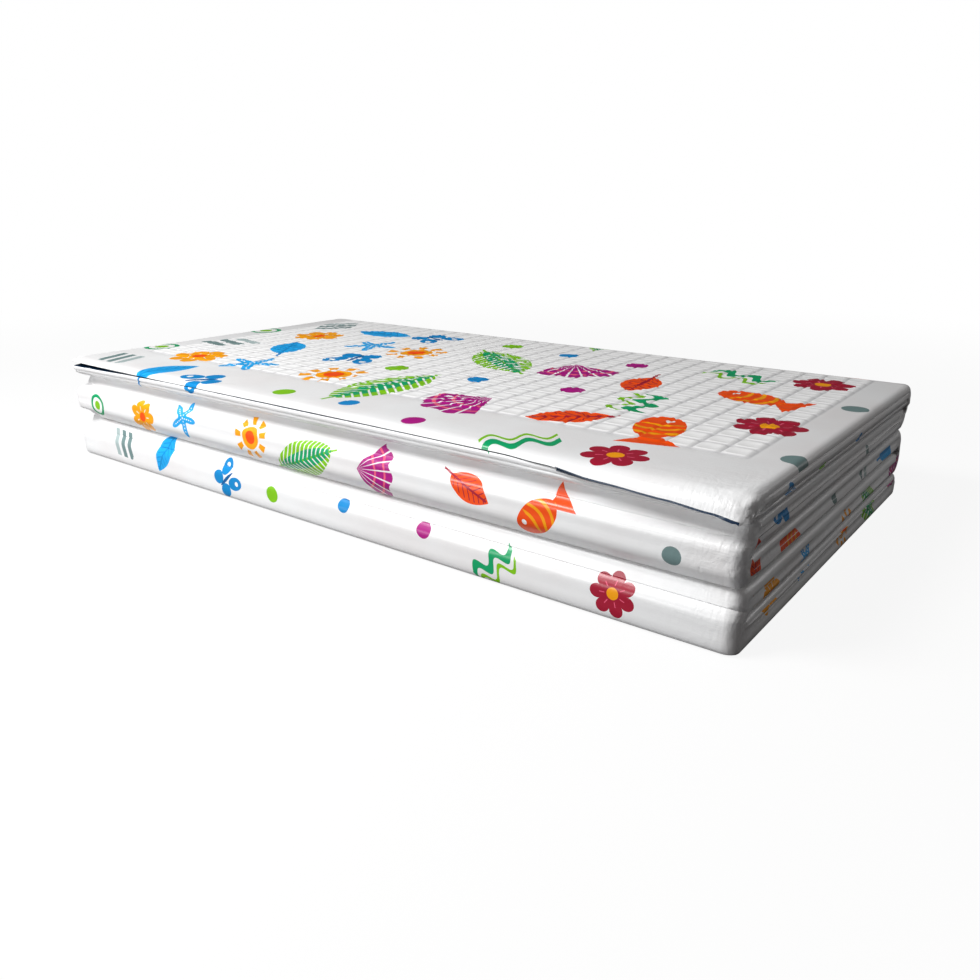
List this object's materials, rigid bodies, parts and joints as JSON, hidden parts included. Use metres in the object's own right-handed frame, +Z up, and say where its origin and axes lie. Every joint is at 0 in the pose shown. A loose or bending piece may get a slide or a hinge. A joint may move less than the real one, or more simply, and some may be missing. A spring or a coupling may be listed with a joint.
{
  "type": "folding baby play mat",
  "caption": "Thick foam baby play mat in a white embossed film cover with a bright scattered print, folded back and forth into a flat stack of equal panels.",
  "frame": {"origin": "middle of the underside of the folded stack", "axes": "+X along the folds and the long side, +Y from the side with the top panel's free edge to the other long side, +Z up"},
  "size_m": [1.063, 0.5708, 0.15],
  "materials": {
    "film": "pearly white satin film with a bright print, embossed with rounded squares on the play side"
  },
  "bodies": {
    "root": {"folded_mat": "film"}
  },
  "joints": []
}
